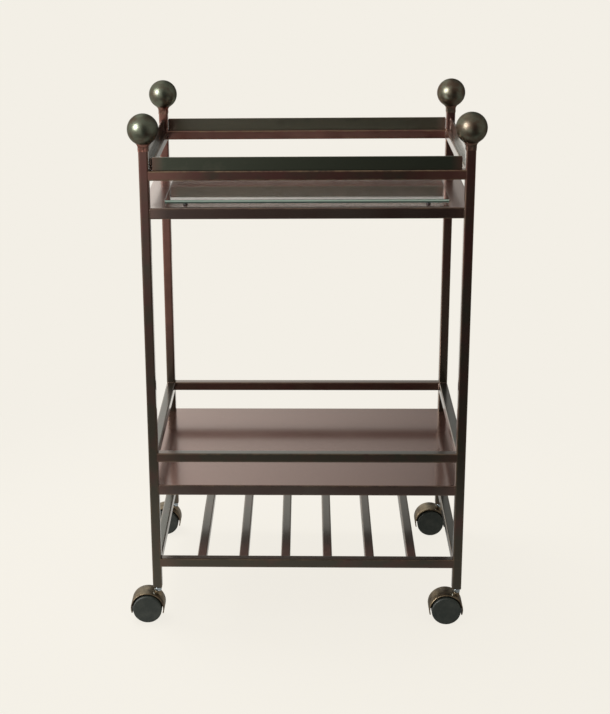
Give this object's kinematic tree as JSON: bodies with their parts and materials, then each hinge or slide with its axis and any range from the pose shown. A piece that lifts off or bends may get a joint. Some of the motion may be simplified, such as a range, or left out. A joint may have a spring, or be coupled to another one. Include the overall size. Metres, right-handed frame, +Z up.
{
  "type": "bar cart",
  "caption": "Two-tier metal bar cart with square-tube frame, ball finials, gallery rail, glass-topped tray, guard-railed shelf, slatted rack and hooded swivel casters.",
  "frame": {"origin": "on the floor, at the centre of the ground that the cart covers with its casters trailing to the left", "axes": "+Z up, front towards -Y, +X to the right seen from the front"},
  "size_m": [0.597, 0.4148, 0.8965],
  "materials": {
    "bronze_tube": "glossy dark aged bronze over steel tube",
    "bronze_ball": "glossy dark aged bronze over a spun steel ball",
    "bronze_sheet": "satin dark aged bronze over sheet steel",
    "caster_hood": "aged bronze plated die casting",
    "wheel": "moulded dark nylon",
    "zinc_stem": "bright zinc plated steel",
    "steel_axle": "plain steel pin",
    "glass": "clear polished float glass with a green edge",
    "rubber": "black moulded rubber"
  },
  "bodies": {
    "frame": {"post_front_left": "bronze_tube", "post_front_right": "bronze_tube", "post_rear_left": "bronze_tube", "post_rear_right": "bronze_tube", "finial_ball_front_left": "bronze_ball", "finial_ball_front_right": "bronze_ball", "finial_ball_rear_left": "bronze_ball", "finial_ball_rear_right": "bronze_ball", "gallery_rail_front": "bronze_tube", "gallery_rail_rear": "bronze_tube", "gallery_rail_left": "bronze_tube", "gallery_rail_right": "bronze_tube", "guard_rail_front": "bronze_tube", "guard_rail_rear": "bronze_tube", "guard_rail_left": "bronze_tube", "guard_rail_right": "bronze_tube", "rack_rail_front": "bronze_tube", "rack_rail_rear": "bronze_tube", "rack_rail_left": "bronze_tube", "rack_rail_right": "bronze_tube", "gallery_band_front": "bronze_tube", "gallery_band_rear": "bronze_tube", "gallery_band_left": "bronze_tube", "gallery_band_right": "bronze_tube", "rack_slat_1": "bronze_tube", "rack_slat_2": "bronze_tube", "rack_slat_3": "bronze_tube", "rack_slat_4": "bronze_tube", "rack_slat_5": "bronze_tube", "rack_slat_6": "bronze_tube", "upper_shelf": "bronze_sheet", "lower_shelf": "bronze_sheet", "bumper_front_left": "rubber", "bumper_front_right": "rubber", "bumper_rear_left": "rubber", "bumper_rear_right": "rubber", "caster_stem_front_left": "zinc_stem", "caster_stem_front_right": "zinc_stem", "caster_stem_rear_left": "zinc_stem", "caster_stem_rear_right": "zinc_stem"},
    "glass": {"glass_plate": "glass"},
    "caster_front_left": {"caster_hood_front_left": "caster_hood", "caster_axle_front_left": "steel_axle"},
    "caster_front_left_front_wheel": {"wheel_front_left_front": "wheel"},
    "caster_front_left_rear_wheel": {"wheel_front_left_rear": "wheel"},
    "caster_front_right": {"caster_hood_front_right": "caster_hood", "caster_axle_front_right": "steel_axle"},
    "caster_front_right_front_wheel": {"wheel_front_right_front": "wheel"},
    "caster_front_right_rear_wheel": {"wheel_front_right_rear": "wheel"},
    "caster_rear_left": {"caster_hood_rear_left": "caster_hood", "caster_axle_rear_left": "steel_axle"},
    "caster_rear_left_front_wheel": {"wheel_rear_left_front": "wheel"},
    "caster_rear_left_rear_wheel": {"wheel_rear_left_rear": "wheel"},
    "caster_rear_right": {"caster_hood_rear_right": "caster_hood", "caster_axle_rear_right": "steel_axle"},
    "caster_rear_right_front_wheel": {"wheel_rear_right_front": "wheel"},
    "caster_rear_right_rear_wheel": {"wheel_rear_right_rear": "wheel"}
  },
  "joints": [
    {"name": "glass_lift", "type": "slide", "parent": "frame", "child": "glass", "axis": [0, 0, 1], "range_m": [0, 0.1]},
    {"name": "swivel_front_left", "type": "hinge", "parent": "frame", "child": "caster_front_left", "pos_m": [-0.2509, -0.182, 0.045], "axis": [0, 0, 1], "continuous": true},
    {"name": "spin_front_left_front", "type": "hinge", "parent": "caster_front_left", "child": "caster_front_left_front_wheel", "pos_m": [-0.2689, -0.182, 0.0254], "axis": [0, 1, 0], "continuous": true},
    {"name": "spin_front_left_rear", "type": "hinge", "parent": "caster_front_left", "child": "caster_front_left_rear_wheel", "pos_m": [-0.2689, -0.182, 0.0254], "axis": [0, 1, 0], "continuous": true},
    {"name": "swivel_front_right", "type": "hinge", "parent": "frame", "child": "caster_front_right", "pos_m": [0.2731, -0.182, 0.045], "axis": [0, 0, 1], "continuous": true},
    {"name": "spin_front_right_front", "type": "hinge", "parent": "caster_front_right", "child": "caster_front_right_front_wheel", "pos_m": [0.2551, -0.182, 0.0254], "axis": [0, 1, 0], "continuous": true},
    {"name": "spin_front_right_rear", "type": "hinge", "parent": "caster_front_right", "child": "caster_front_right_rear_wheel", "pos_m": [0.2551, -0.182, 0.0254], "axis": [0, 1, 0], "continuous": true},
    {"name": "swivel_rear_left", "type": "hinge", "parent": "frame", "child": "caster_rear_left", "pos_m": [-0.2509, 0.182, 0.045], "axis": [0, 0, 1], "continuous": true},
    {"name": "spin_rear_left_front", "type": "hinge", "parent": "caster_rear_left", "child": "caster_rear_left_front_wheel", "pos_m": [-0.2689, 0.182, 0.0254], "axis": [0, 1, 0], "continuous": true},
    {"name": "spin_rear_left_rear", "type": "hinge", "parent": "caster_rear_left", "child": "caster_rear_left_rear_wheel", "pos_m": [-0.2689, 0.182, 0.0254], "axis": [0, 1, 0], "continuous": true},
    {"name": "swivel_rear_right", "type": "hinge", "parent": "frame", "child": "caster_rear_right", "pos_m": [0.2731, 0.182, 0.045], "axis": [0, 0, 1], "continuous": true},
    {"name": "spin_rear_right_front", "type": "hinge", "parent": "caster_rear_right", "child": "caster_rear_right_front_wheel", "pos_m": [0.2551, 0.182, 0.0254], "axis": [0, 1, 0], "continuous": true},
    {"name": "spin_rear_right_rear", "type": "hinge", "parent": "caster_rear_right", "child": "caster_rear_right_rear_wheel", "pos_m": [0.2551, 0.182, 0.0254], "axis": [0, 1, 0], "continuous": true}
  ]
}
